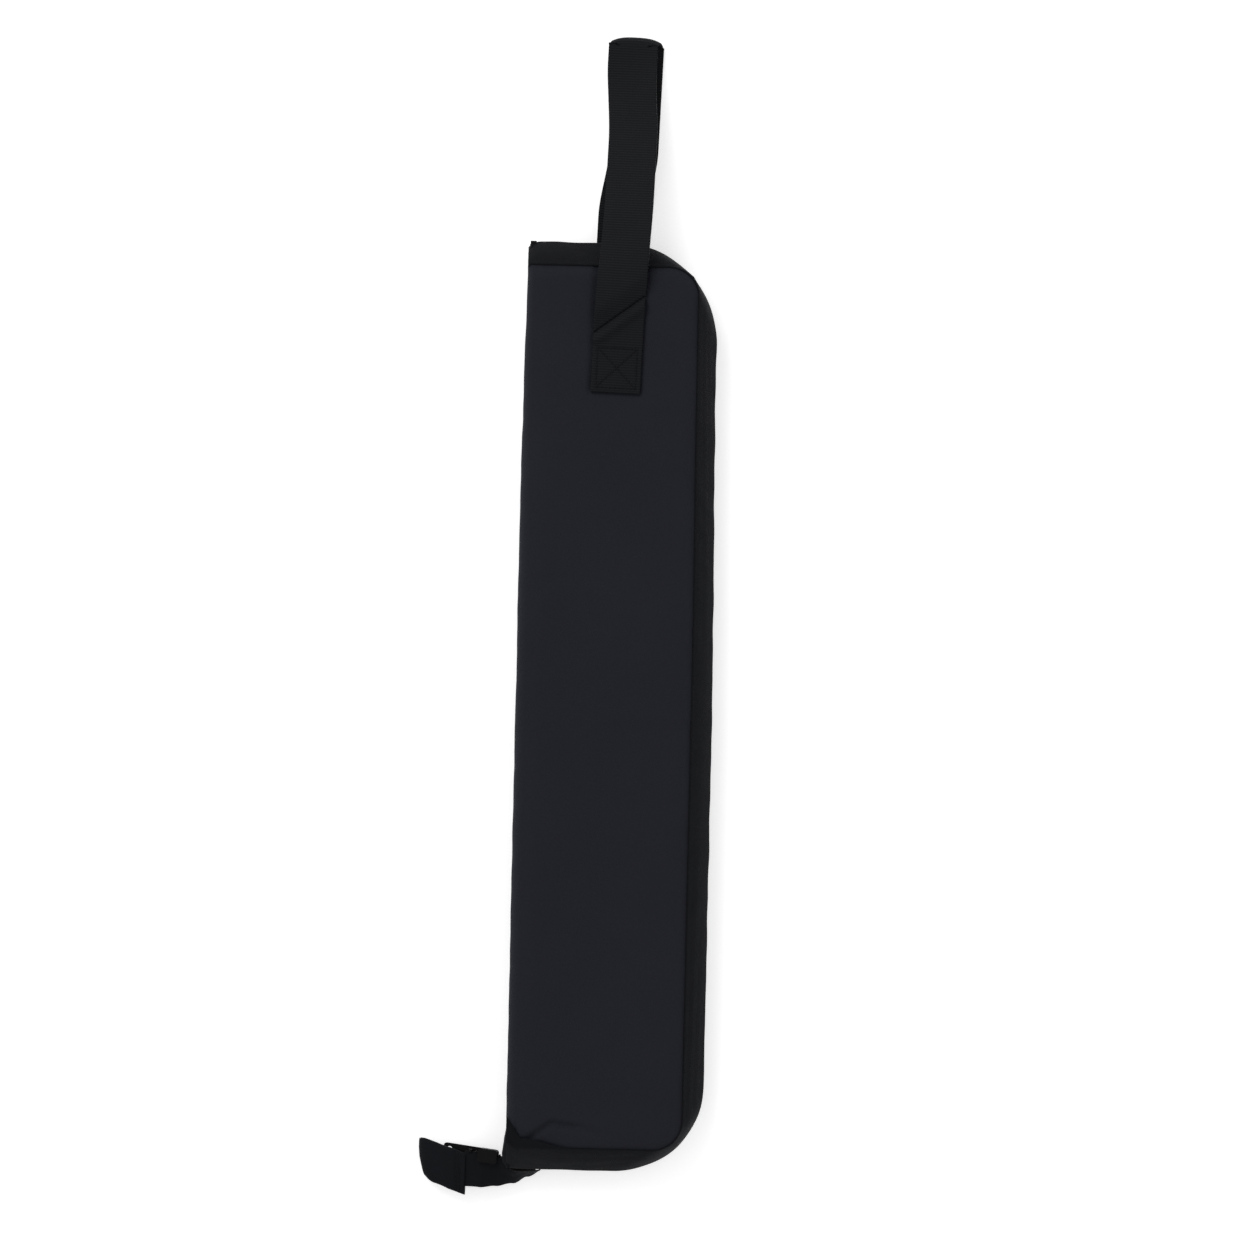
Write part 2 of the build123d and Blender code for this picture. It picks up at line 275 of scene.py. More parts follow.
def cloth(name, colour, kind, pitch, roughness, sheen, depth, mottle, wear_and_highlight_strength=0.0):
    """Woven cloth: threads in the bump, colour and roughness, uneven dye, and edges painted paler for rubbed
    wear and a painted highlight.
    """
    material = bpy.data.materials.new(name)
    material.use_nodes = True
    tree = material.node_tree
    shader = tree.nodes["Principled BSDF"]
    uv = tree.nodes.new("ShaderNodeUVMap")
    uv.uv_map = "cloth"
    where = tree.nodes.new("ShaderNodeTexCoord").outputs["Object"]
    threads = weave_height(tree, uv.outputs[0], kind, pitch)
    slubs = noise_node(tree, where, 900, 3)
    patches = noise_node(tree, where, 22, 3, 0.6)
    fuzz = noise_node(tree, where, 2600, 2)

    shade = math_node(tree, "MULTIPLY_ADD", threads, 0.45, 0.72)
    shade = math_node(tree, "MULTIPLY", shade, math_node(tree, "MULTIPLY_ADD", slubs, 0.5, 0.75))
    dye = math_node(tree, "MULTIPLY_ADD", patches, mottle * 2, 1 - mottle)
    shade = math_node(tree, "MULTIPLY", shade, dye)
    # paler where the mesh's attribute says so: patchy rubbed wear, and a painted highlight where the light
    # catches the spine's fold
    if wear_and_highlight_strength:
        wear_and_highlight = tree.nodes.new("ShaderNodeAttribute")
        wear_and_highlight.attribute_name = "wear_and_highlight"
        patchy = math_node(tree, "MULTIPLY_ADD", slubs, 1.2, 0.2)
        rubbed_and_lit = math_node(tree, "MULTIPLY", wear_and_highlight.outputs["Fac"], patchy)
        shade = math_node(tree, "MULTIPLY_ADD", rubbed_and_lit, wear_and_highlight_strength, shade)
    scaled = tree.nodes.new("ShaderNodeVectorMath")
    scaled.operation = "SCALE"
    scaled.inputs[0].default_value = colour
    link(tree, shade, scaled.inputs["Scale"])
    link(tree, scaled.outputs[0], shader.inputs["Base Color"])

    rough = math_node(tree, "MULTIPLY_ADD", slubs, 0.2, roughness - 0.1)
    rough = math_node(tree, "MULTIPLY_ADD", threads, -0.12, rough)
    link(tree, rough, shader.inputs["Roughness"])
    shader.inputs["Specular IOR Level"].default_value = 0.12
    shader.inputs["Sheen Weight"].default_value = sheen
    shader.inputs["Sheen Roughness"].default_value = 0.45
    shader.inputs["Sheen Tint"].default_value = (0.8, 0.82, 0.9, 1)

    height = math_node(tree, "MULTIPLY_ADD", fuzz, 0.35, threads)
    height = math_node(tree, "MULTIPLY_ADD", slubs, 0.5, height)
    bump = tree.nodes.new("ShaderNodeBump")
    bump.inputs["Strength"].default_value = depth
    bump.inputs["Distance"].default_value = 0.00025
    link(tree, height, bump.inputs["Height"])
    link(tree, bump.outputs[0], shader.inputs["Normal"])
    return material


def hard(name, colour, roughness, specular, scratch=0.12, grain=1400):
    """Moulded plastic or painted metal, with fine grain, scuffs and uneven gloss."""
    material = bpy.data.materials.new(name)
    material.use_nodes = True
    tree = material.node_tree
    shader = tree.nodes["Principled BSDF"]
    where = tree.nodes.new("ShaderNodeTexCoord").outputs["Object"]
    scuffs = noise_node(tree, where, 260, 4, 0.7)
    fine = noise_node(tree, where, grain, 2)
    shade = math_node(tree, "MULTIPLY_ADD", scuffs, 0.6, 0.7)
    scaled = tree.nodes.new("ShaderNodeVectorMath")
    scaled.operation = "SCALE"
    scaled.inputs[0].default_value = colour
    link(tree, shade, scaled.inputs["Scale"])
    link(tree, scaled.outputs[0], shader.inputs["Base Color"])
    rough = math_node(tree, "MULTIPLY_ADD", scuffs, scratch * 2, roughness - scratch)
    link(tree, rough, shader.inputs["Roughness"])
    shader.inputs["Specular IOR Level"].default_value = specular
    bump = tree.nodes.new("ShaderNodeBump")
    bump.inputs["Strength"].default_value = 0.25
    bump.inputs["Distance"].default_value = 0.0001
    link(tree, fine, bump.inputs["Height"])
    link(tree, bump.outputs[0], shader.inputs["Normal"])
    return material


# cloth: colour, weave, its pitch, roughness, sheen, depth of the weave, mottling and, on the covers, paleness
# of wear and painted highlight
POLYESTER = cloth("woven_polyester", (0.0155, 0.0165, 0.0228), "plain", 0.9 * MM, 0.85, 0.03, 0.55, 0.1, 0.25)
TAPE = cloth("zip_tape_cloth", (0.0044, 0.0050, 0.0066), "herringbone", 0.9 * MM, 0.85, 0.02, 0.4, 0.12)
LINING = cloth("nylon_lining", (0.012, 0.012, 0.014), "plain", 0.6 * MM, 0.6, 0.1, 0.3, 0.1)
WEBBING = cloth("ribbed_webbing", (0.0082, 0.0089, 0.0105), "ribs", 1.3 * MM, 0.8, 0.02, 0.9, 0.12)
BINDING = cloth("bias_binding", (0.007, 0.007, 0.0085), "ribs", 0.8 * MM, 0.85, 0.02, 0.5, 0.1)
ELASTIC = cloth("knitted_elastic", (0.010, 0.010, 0.0115), "ribs", 1.6 * MM, 0.9, 0.02, 1.0, 0.1)
TAB = cloth("tab_polyester", (0.0055, 0.0062, 0.0083), "plain", 0.9 * MM, 0.85, 0.02, 0.5, 0.14)
THREAD = hard("sewing_thread", (0.009, 0.0095, 0.0115), 0.75, 0.1, 0.1, 5000)
COIL = hard("nylon_coil", (0.007, 0.007, 0.008), 0.5, 0.16)
METAL = hard("black_painted_zinc", (0.0035, 0.0036, 0.0042), 0.5, 0.1)

# ---- outlines ----


END_POINTS, CORNER_POINTS, SIDE_POINTS = 30, 26, 190  # of each outline's stretches


def u_path(right, end, top_corner, bottom_corner, left):
    """Points from the spine's handle end round the far side to its tail end.

    Every outline has the same number in each stretch, so that two of them can be joined point by point.
    """
    top_x, top_y = right - top_corner, end - top_corner
    bottom_x, bottom_y = right - bottom_corner, bottom_corner - end
    points = []
    for k in range(END_POINTS):
        points.append((mix(left, top_x, k / END_POINTS), end))
    for k in range(CORNER_POINTS):
        angle = math.pi / 2 * (1 - k / CORNER_POINTS)
        across, along = top_corner * math.cos(angle), top_corner * math.sin(angle)
        points.append((top_x + across, top_y + along))
    for k in range(SIDE_POINTS):
        points.append((right, mix(top_y, bottom_y, k / SIDE_POINTS)))
    for k in range(CORNER_POINTS):
        angle = -math.pi / 2 * k / CORNER_POINTS
        across, along = bottom_corner * math.cos(angle), bottom_corner * math.sin(angle)
        points.append((bottom_x + across, bottom_y + along))
    for k in range(END_POINTS + 1):
        points.append((mix(bottom_x, left, k / END_POINTS), -end))
    return points


def zip_path(inset, left):
    """The zip's line; it bellies out a little towards the tail end and waves like any sewn tape."""
    path = u_path(ZIP_RIGHT - inset, ZIP_END - inset, ZIP_TOP_CORNER - inset, ZIP_BOTTOM_CORNER - inset, left)
    waved = []
    for x, y in path:
        side = smooth(0, RIGHT, x)
        belly = mix(1.2 * MM, -0.8 * MM, smooth(-20 * MM, 190 * MM, y))
        belly += 0.45 * MM * ripple(y, 0, 16 * MM, 2.0)
        ends = 0.4 * MM * ripple(x, y * 0.1, 14 * MM, 6.0) * smooth(left, left + 20 * MM, x)
        ends -= (2.6 * MM if y > 0 else 0.8 * MM) * max(0.0, 1 - (x - SPINE_X) / (6 * MM)) ** 2
        waved.append((x + belly * side, y + ends if y > 0 else y - ends))
    return waved


def spine_line(y):
    """How far the spine side stands in; it draws in a little at the handle end."""
    return 1.2 * MM * smooth(110 * MM, 220 * MM, y)


def cover_path(inset, left):
    """The covers' sewn edge, less an inset, from the spine side and back to it."""
    return u_path(RIGHT - inset, END - inset, CORNER - inset, CORNER - inset, left)


LOW_HEM = 0.6 * MM  # the tail-end seam is sewn this much nearer the edge than the others


def drawn_up(x):
    """How far the tail-end seam is drawn up where it nears the spine."""
    return 4.6 * MM * smooth(-16 * MM, -42 * MM, x) + 11 * MM * smooth(-42 * MM, -50 * MM, x) ** 0.8


def side_seam(y):
    """How far the long seam stands out past the cover's edge, a little more towards the tail end."""
    return mix(1.9 * MM, 2.9 * MM, smooth(200 * MM, 20 * MM, y))


def edge_distance(x, y):
    """How far a point of a cover is inside its sewn edge; the spine side doesn't count."""
    dx = x - (RIGHT - CORNER) - side_seam(y)
    dy = abs(y) - (END - CORNER)
    if y < 0:
        dy += drawn_up(x) - LOW_HEM
    outside = math.hypot(max(dx, 0), max(dy, 0))
    return CORNER - outside - min(max(dx, dy), 0)


# ---- handle's line ----

SEWN_X, SEWN_Y = -2.4 * MM, 171 * MM  # middle of its stitched box
LEAN = math.radians(1.9)
HALF_WEBBING = 12.5 * MM
WEBBING_THICKNESS = 1.3 * MM
LEG_START = -12.5 * MM  # its sewn end, along it from there


def under_webbing(x, y):
    """1 where the handle is sewn to a cover and 0 away from it."""
    along = y - SEWN_Y
    across = x - SEWN_X - along * math.sin(LEAN)
    edge = 2.2 * MM
    side = 1 - smooth(HALF_WEBBING + 0.3 * MM, HALF_WEBBING + edge, abs(across))
    return side * smooth(LEG_START - edge, LEG_START - 0.4 * MM, along)


# ---- padded covers ----


def crease(x, y, ax, ay, bx, by, width, depth):
    """Height of one soft wrinkle from a to b: a shallow valley with a low ridge on each side."""
    dx, dy = bx - ax, by - ay
    length = math.hypot(dx, dy)
    along = ((x - ax) * dx + (y - ay) * dy) / length
    across = ((x - ax) * dy - (y - ay) * dx) / length
    fade = smooth(-width * 2, width * 2, along) * (1 - smooth(length - width * 2, length + width * 2, along))
    shape = across / width
    return -depth * fade * (1 - shape * shape) * math.exp(-shape * shape)


# The front cover's wrinkles in millimetres. The first three gather at the corner where the zip's tail leaves,
# and the rest are faint bends across the long panel. Each has its start, its end, its width and its depth.
WRINKLES = [
    (-39, -219, -27, -210.5, 2.2, 1.7),
    (-27, -210.5, -14, -212, 2.2, 1.5),
    (-14, -212, 2, -216, 2.8, 0.6),
    (-3, -11.5, 37, -11.0, 4.5, 0.35),
    (14, 120, 36, 116, 5.0, 0.25),
    (-44, 60, -26, 66, 5.0, 0.25),
    (10, -120, 36, -126, 6.0, 0.25),
    (-46, -92, -30, -88, 4.0, 0.2),
]


HIDDEN_EDGE = TOP - LINING_TOP + 0.4 * MM  # height of the front cover's turned-in edge, beside its lining
TURN_IN = 0.3 * MM


def puff(x, y, seed, wrinkled):
    """Soft relief of a padded panel above its flat outer face."""
    inside = edge_distance(x, y)
    calm = smooth(0, 14 * MM, inside)
    height = 0.42 * MM * ripple(x, y, 46 * MM, seed) * calm
    height += 0.16 * MM * ripple(x, y * 0.7, 15 * MM, seed + 5)
    pull = 1 - smooth(1 * MM, 9 * MM, inside)
    height += 0.22 * MM * pull * ripple(x + y, (x - y) * 0.3, 9 * MM, seed + 9)
    if wrinkled:
        for ax, ay, bx, by, width, depth in WRINKLES:
            height += crease(x, y, ax * MM, ay * MM, bx * MM, by * MM, width * MM, depth * MM)
    return height


def roll_off(inside):
    """How far the cloth drops as it rolls over the foam's edge to the seam."""
    seam, reach = 0.7 * MM, 6.6 * MM
    share = min(1.0, max(0.0, (inside - seam) / reach))
    return SEAM_DROP * (1 - share) ** 2.0


def cover_rows(seed, dent, wrinkled):
    """Rows of points up the upper half of the spine, round its fold and across one cover to its sewn edge."""
    ys = []
    corner_steps, near_steps, straight_steps = 24, 16, 190
    near = 12 * MM  # length of the closer rows, where the tail end's wrinkles are
    for k in range(corner_steps):
        ys.append(-END + CORNER * (1 - math.cos(math.pi / 2 * k / corner_steps)))
    for k in range(near_steps):
        ys.append(-END + CORNER + near * k / near_steps)
    for k in range(straight_steps + 1):
        ys.append(mix(-END + CORNER + near, END - CORNER, k / straight_steps))
    for k in range(1, corner_steps + 1):
        ys.append(END - CORNER + CORNER * math.sin(math.pi / 2 * k / corner_steps))
    half_steps, fold_steps, face_steps = 8, 8, 78
    # each point also gets its wear and painted highlight: paler up the spine's fold and just beside it, where
    # the light catches the edge
    rows, wear_and_highlight = [], []
    for y in ys:
        beyond = max(0.0, abs(y) - (END - CORNER))
        right = RIGHT + side_seam(y) - CORNER + math.sqrt(max(0.0, CORNER**2 - beyond**2))
        row, row_wear_and_highlight = [], []
        wander = 0.5 * MM * ripple(y, 0, 40 * MM, 3) + 0.25 * MM * ripple(y, 3, 11 * MM, 1)
        wander += spine_line(y) - 0.5 * MM
        for k in range(half_steps + 1):
            height = mix(MIDDLE, TOP - FOLD, k / half_steps)
            row.append(Vector((SPINE_X + wander, y, height)))
            row_wear_and_highlight.append(0.5 * smooth(half_steps - 2, half_steps, k))
        end_inside = END - abs(y) if y > 0 else y + END - drawn_up(SPINE_X + FOLD)
        for k in range(1, fold_steps + 1):
            angle = math.pi / 2 * k / fold_steps
            x = SPINE_X + FOLD - FOLD * math.cos(angle) + wander * (1 - k / fold_steps)
            z = TOP - FOLD + FOLD * math.sin(angle) - roll_off(end_inside) * k / fold_steps
            row.append(Vector((x, y, z)))
            row_wear_and_highlight.append(1 - 0.09 * k)
        for k in range(1, face_steps + 1):
            share = k / face_steps
            x = mix(SPINE_X + FOLD, right, mix(share, 0.5 - 0.5 * math.cos(math.pi * share), 0.65))
            inside = edge_distance(x, y)
            from_spine = smooth(SPINE_X + FOLD, SPINE_X + 3 * FOLD, x)
            z = TOP - roll_off(max(0.0, inside)) + puff(x, y, seed, wrinkled) * from_spine
            z -= dent * under_webbing(x, y) + 1.5 * MM * smooth(0, 2.5 * MM, -inside)
            row.append(Vector((x, y, z)))
            row_wear_and_highlight.append(0.35 * (1 - smooth(SPINE_X + FOLD, SPINE_X + 3.2 * FOLD, x)))
        hidden = row[-1].copy()
        hidden.z = HIDDEN_EDGE
        hidden.x -= TURN_IN
        row.append(hidden)
        row_wear_and_highlight.append(0.0)
        rows.append(row)
        wear_and_highlight.append(row_wear_and_highlight)
    for end, source in ((0, rows[0]), (len(rows), rows[-1])):
        turned = [point.copy() for point in source]
        for point in turned:
            if point.x > SPINE_X + FOLD:
                point.z = min(point.z, HIDDEN_EDGE)
            point.y -= math.copysign(TURN_IN, point.y)
        rows.insert(end, turned)
        wear_and_highlight.insert(end, [0.0] * len(turned))
    return rows, wear_and_highlight


def flip(rows):
    """The same points for the back cover, mirrored through the bag's middle plane."""
    return [[Vector((p.x, p.y, TOP - p.z)) for p in reversed(row)] for row in rows]


# where each cover's pieces start and finish passing from the spine to the cover
FRONT_BEND = ((SPINE_X, 0, TOP - 2.2 * FOLD), (SPINE_X + 1.6 * FOLD, 0, TOP))
BACK_BEND = ((SPINE_X, 0, 2.2 * FOLD), (SPINE_X + 1.6 * FOLD, 0, 0))

rows, wear_and_highlight = cover_rows(1.0, 0.9 * MM, True)
front_shell = grid("front_cover_shell", rows, POLYESTER, wear_and_highlight)
rows, wear_and_highlight = cover_rows(30.0, 1.75 * MM, False)
for row in rows:
    for point in row:
        point.z = min(point.z, TOP - 0.05 * MM)  # the back lies on the floor
back_shell = grid("back_cover_shell", flip(rows), POLYESTER, [list(reversed(row)) for row in wear_and_highlight])
for shell, cover, bend in (
    (front_shell, "front_cover", FRONT_BEND),
    (back_shell, "back_cover", BACK_BEND),
):
    thicken(shell, CLOTH, -1)
    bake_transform(shell)
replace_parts(front_shell, "front_outer_fabric", "front_foam_pad", "spine_fabric")
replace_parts(back_shell, "back_outer_fabric", "back_foam_pad")


# ---- zip band ----

TAPE_LEFT = SPINE_X - 0.3 * MM
BAND_CLOTH = 0.7 * MM
COIL_PITCH = 1.35 * MM
COIL_HEAD = 0.75 * MM  # half the depth of one loop of nylon
COIL_BEND = 7  # points along one loop


def band_rows(seed):
    """Tape of the front cover, from its seam down and out to the zip's line."""
    inner = cover_path(0.7 * MM, TAPE_LEFT)
    outer = zip_path(0.5 * MM, TAPE_LEFT)
    bottom = front_coil_high.z - 1.1 * MM
    steps = 16
    rows = []
    for (ix, iy), (ox, oy) in zip(inner, outer):
        lift = drawn_up(ix) if iy < 0 and ix < 0 else 0.0
        iy += lift - LOW_HEM * smooth(CORNER - END, -END, iy)
        ix += side_seam(iy) * smooth(0, RIGHT, ix)
        held = lift / (lift + ZIP_END - END) * 0.85
        in_at_top = spine_line(iy) * smooth(TAPE_LEFT + 20 * MM, TAPE_LEFT, ox)
        out = Vector((ox - ix, oy - iy, 0))
        out = out.normalized() if out.length > 1e-9 else Vector((1, 0, 0))
        sewn = TOP - SEAM_DROP + (0.5 + 0.6 * smooth(0, 2 * MM, lift)) * MM
        row = []
        for k in range(steps + 1):
            share = k / steps
            fall = max(0.0, share - held) / (1 - held)
            z = mix(sewn, bottom, fall)
            point = Vector((mix(ix, ox, share) + in_at_top, mix(iy, oy, share), z))
            bow = math.sin(math.pi * share) * 0.8 * MM
            bow += 0.35 * MM * math.sin(math.pi * share) * ripple(ix + oy, iy - ox, 16 * MM, seed)
            row.append(point + (out + UP * 0.9).normalized() * bow)
        rows.append(row)
    return rows


def coil_tubes(path, height, lean):
    """One bent loop of nylon at each pitch along the path, its head pointing outwards."""
    tubes = []
    points = [Vector((x, y, height)) for x, y in path]
    travelled, goal = 0.0, 0.0
    for a, b in zip(points, points[1:]):
        run = (b - a).length
        if run < 1e-9:
            continue
        ahead = (b - a) / run
        out = Vector((-ahead.y, ahead.x, 0))
        while goal < travelled + run:
            centre = a + ahead * (goal - travelled)
            loop = []
            for k in range(COIL_BEND):
                share = k / (COIL_BEND - 1)
                angle = math.pi * share - math.pi / 2
                place = centre + out * (math.cos(angle) * COIL_HEAD - 0.35 * MM)
                place += UP * (math.sin(angle) * 0.62 * MM)
                place += ahead * (lean * (share - 0.5) * COIL_PITCH * 0.7)
                loop.append(place)
            tubes.append(tube_rings(loop, 0.3 * MM, 5))
            goal += COIL_PITCH
        travelled += run
    return tubes


coil_line = zip_path(0.9 * MM, SPINE_X + 2 * MM)
coil_middle = 0.85 * MM  # from the plane where the two rows of coils meet
front_z = front_coil_low.z + coil_middle
back_z = back_coil_high.z - coil_middle

front_band = thicken(grid("front_zip_band", band_rows(3.0), TAPE), BAND_CLOTH)
back_band = thicken(grid("back_zip_band", flip(band_rows(12.0)), TAPE), BAND_CLOTH)
front_coils = join_tubes("front_zip_coils", coil_tubes(coil_line, front_z, 1), COIL)
back_coils = join_tubes("back_zip_coils", coil_tubes(coil_line, back_z, -1), COIL)
for piece, cover, bend, node, slot in (
    (front_band, "front_cover", FRONT_BEND, "front_zip_tape", "zip_tape"),
    (back_band, "back_cover", BACK_BEND, "back_zip_tape", "zip_tape"),
    (front_coils, "front_cover", FRONT_BEND, "front_zip_coil", "zip_coil"),
    (back_coils, "back_cover", BACK_BEND, "back_zip_coil", "zip_coil"),
):
    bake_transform(piece)
    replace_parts(piece, node)

# ---- spine ends ----


def gusset(end, name, start, bulge):
    """Tape that wraps one end of the spine and closes in to the zip's line.

    end is 1 at the handle and -1 at the tail, where the slider passes under the bulge of the upper half.
    """
    steps = 24
    tuck = 1.6 * MM  # how far its two long edges turn in behind the covers' edges
    finish = ZIP_END - (2.4 if end > 0 else 0.5) * MM
    rows = []
    for i in range(steps + 1):
        y = mix(start, finish, i / steps)
        taper = smooth(END - 2 * MM, ZIP_END, y)
        half = mix(MIDDLE - 1.7 * MM, 2.2 * MM, taper**0.8)
        out = 0.35 * MM + bulge * smooth(start, ZIP_END - 6 * MM, y)
        out -= 2.8 * MM * smooth(ZIP_END - 5 * MM, ZIP_END, y)
        row = []
        for j in range(steps + 1):
            angle = math.pi * (j / steps - 0.5)
            flat = math.copysign(abs(math.sin(angle)) ** 0.75, angle)
            depth = max(0.0, math.cos(angle)) ** 0.3
            push = out if end > 0 else mix(0.1 * MM, out, smooth(0.05, 0.6, flat))
            x = SPINE_X + spine_line(end * y) + tuck - (push + tuck) * depth
            crumple = 0.25 * MM * ripple(y, flat * half, 6 * MM, end) + 0.2 * MM * ripple(y, 0, 3 * MM, end)
            row.append(Vector((x - crumple * depth, end * y, MIDDLE + flat * half)))
        rows.append(row if end > 0 else list(reversed(row)))
    piece = thicken(grid(name, rows, TAPE), 0.8 * MM, -1)
    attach(piece, "spine")
    return piece


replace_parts(gusset(1, "spine_top_end", 221.5 * MM, 0.2 * MM), "spine_top_gusset")
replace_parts(gusset(-1, "spine_bottom_end", 209 * MM, 2.1 * MM), "spine_bottom_gusset")

# ---- linings, bindings, sleeve and keeper ----


def lining(name, body, seed, facing):
    """Lining of one cover, a little slack over its foam; facing is 1 on the back cover, -1 on the front."""
    steps, columns = 120, 30
    cut = 0.04  # of the half turn at both ends; its cosine spaces the rows, closest near the ends
    rows = []
    for k in range(steps + 1):
        turn = math.pi * mix(cut, 1 - cut, k / steps)
        y = -(END - 1 * MM) * math.cos(turn) / math.cos(math.pi * cut)
        beyond = max(0.0, abs(y) - (END - CORNER))
        right = RIGHT - 0.8 * MM - CORNER + math.sqrt(max(0.0, CORNER**2 - beyond**2))
        row = []
        for j in range(columns + 1):
            x = mix(SPINE_X + 2.4 * MM, right, j / columns)
            slack = 0.35 * MM * ripple(x, y * 0.6, 17 * MM, seed) * smooth(0, 8 * MM, edge_distance(x, y))
            lift = LINING_TOP - 0.35 * MM + slack
            row.append(Vector((x, y, lift if facing > 0 else TOP - lift)))
        rows.append(row if facing > 0 else list(reversed(row)))
    piece = thicken(grid(name, rows, LINING), 0.4 * MM, -1)
    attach(piece, body)
    return piece


def inner_binding(name, body, facing):
    """Bias tape folded over the seam, inside a cover."""
    outer = cover_path(0.3 * MM, SPINE_X + 2.2 * MM)
    inner = cover_path(6 * MM, SPINE_X + 2.2 * MM)
    steps = 10
    rows = []
    for (ox, oy), (ix, iy) in zip(outer, inner):
        row = []
        for k in range(steps + 1):
            share = k / steps
            rise = 1.25 * MM * math.sin(math.pi * mix(0.03, 1.0, share)) ** 0.6
            z = LINING_TOP - 0.1 * MM + rise + 0.1 * MM * ripple(ox * 3, oy, 7 * MM, share)
            row.append(Vector((mix(ox, ix, share), mix(oy, iy, share), z if facing > 0 else TOP - z)))
        rows.append(row if facing < 0 else list(reversed(row)))
    piece = thicken(grid(name, rows, BINDING), 0.5 * MM, -1)
    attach(piece, body)
    return piece


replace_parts(lining("back_lining_cloth", "back_cover", 50.0, 1), "back_lining")
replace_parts(lining("front_lining_cloth", "front_cover", 60.0, -1), "front_lining")
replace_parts(inner_binding("back_inner_binding", "back_cover", 1), "back_seam_binding")
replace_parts(inner_binding("front_inner_binding", "front_cover", -1), "front_seam_binding")


def spine_lining():
    """Lining up the inside of the spine, between the two covers' linings."""
    steps, columns = 89, 12
    edge = 2.6 * MM
    rows = []
    for k in range(steps + 1):
        y = mix(-END + 1 * MM, END - 1 * MM, k / steps)
        x = SPINE_X + 1.1 * MM + 0.25 * MM * ripple(y, 0, 12 * MM, 70.0)
        rows.append([Vector((x, y, mix(edge, TOP - edge, j / columns))) for j in range(columns + 1)])
    return thicken(grid("spine_lining_cloth", rows, LINING), 0.4 * MM, 0)


spine_inner = spine_lining()
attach(spine_inner, "spine")
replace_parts(spine_inner, "spine_lining")

sleeve_low, sleeve_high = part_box("stick_sleeve")
binding_low, binding_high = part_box("sleeve_binding")
keeper_low, keeper_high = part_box("elastic_keeper")
SLEEVE_MIDDLE = (sleeve_low.x + sleeve_high.x) / 2


def arches(y_low, y_high, rise, material, name, steps, seed, outset=0.0, sag=0.0, closed=0.0):
    """Two soft arches of cloth side by side, sewn to the lining at both sides and between them.

    They stand rise above the lining, widen by outset and sag away from their mouth. The low end comes down to
    the lining over the distance closed.
    """
    columns = 24
    rows = []
    for i in range(steps + 1):
        y = mix(y_low, y_high, (i / steps) ** (1.6 if closed else 1))
        mouth = smooth(y_high - 40 * MM, y_high, y)
        shut = math.sqrt(min(1.0, (y - y_low) / closed)) if closed else 1.0
        row = []
        for left, right in ((sleeve_low.x, SLEEVE_MIDDLE), (SLEEVE_MIDDLE, sleeve_high.x)):
            for j in range(columns + 1):
                angle = math.pi * j / columns
                wide = abs(math.cos(angle)) ** 0.45 * math.copysign(1, math.cos(angle))
                tall = shut * math.sin(angle) ** 0.5 if 0 < j < columns else 0.0
                x = mix(left, right, 0.5 - 0.5 * wide) + outset * -wide
                slack = sag * (1 - mouth * 0.6) * (0.6 + 0.4 * ripple(x, y, 30 * MM, seed)) * tall
                z = LINING_TOP + 0.1 * MM + (rise + outset - slack) * tall
                z += 0.2 * MM * ripple(x * 2, y, 14 * MM, seed + 3) * tall
                row.append(Vector((x, y, z)))
        rows.append(row)
    piece = thicken(grid(name, rows, material), 0.6 * MM, -1)
    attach(piece, "back_cover")
    return piece


RISE = sleeve_high.z - LINING_TOP
sleeve = arches(
    sleeve_low.y, sleeve_high.y, RISE, LINING, "stick_sleeve_cloth", 120, 80.0, sag=2.2 * MM, closed=2.5 * MM
)
sleeve_mouth = arches(
    binding_low.y - 1 * MM, binding_high.y, RISE, BINDING, "sleeve_mouth_binding", 10, 81.0, outset=0.3 * MM
)
keeper = arches(keeper_low.y, keeper_high.y, RISE, ELASTIC, "elastic_keeper_band", 24, 90.0, sag=0.6 * MM)
for piece, node, slot in (
    (sleeve, "stick_sleeve", "lining"),
    (sleeve_mouth, "sleeve_binding", "binding"),
    (keeper, "elastic_keeper", "elastic"),
):
    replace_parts(piece, node)


def sleeve_stitches():
    """Stitches that hold the keeper's bar tacks and part the sleeve's two pockets."""
    tubes = []
    bar, bar_height, divider_height = 2.4 * MM, LINING_TOP + 1.1 * MM, LINING_TOP + 0.9 * MM
    for y in (keeper_low.y + 2.5 * MM, keeper_high.y - 2.5 * MM):
        for x in (sleeve_low.x + 1.2 * MM, SLEEVE_MIDDLE, sleeve_high.x - 1.2 * MM):
            line = [Vector((x - bar, y, bar_height)), Vector((x + bar, y, bar_height))]
            tubes += stitch_row(line, 1.4 * MM, 1.1 * MM, UP, 0.2 * MM)
    divider = [Vector((SLEEVE_MIDDLE, y, divider_height)) for y in (sleeve_low.y, sleeve_high.y)]
    tubes += stitch_row(divider, 3.4 * MM, 2.6 * MM, UP, 0.22 * MM)
    return join_tubes("sleeve_seams", tubes, THREAD)


sleeve_seams = sleeve_stitches()
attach(sleeve_seams, "back_cover")

# ---- handle ----

APEX_ALONG = 165.5 * MM  # where the webbing turns back
FOLD_RADIUS = 3.1 * MM
FOLD_STEPS = 7  # of each half of the turn
FLOOR_LINE = 0.95 * MM  # height of the lower leg's middle
SEWN_LIFT = 0.35 * MM  # of the upper leg's middle above the front cover
STRAP_COLUMNS = 41


def strap_centre(along):
    """Middle of the webbing over the bag's face, where it leans towards the zip."""
    return SEWN_X + along * math.sin(LEAN), SEWN_Y + along * math.cos(LEAN)


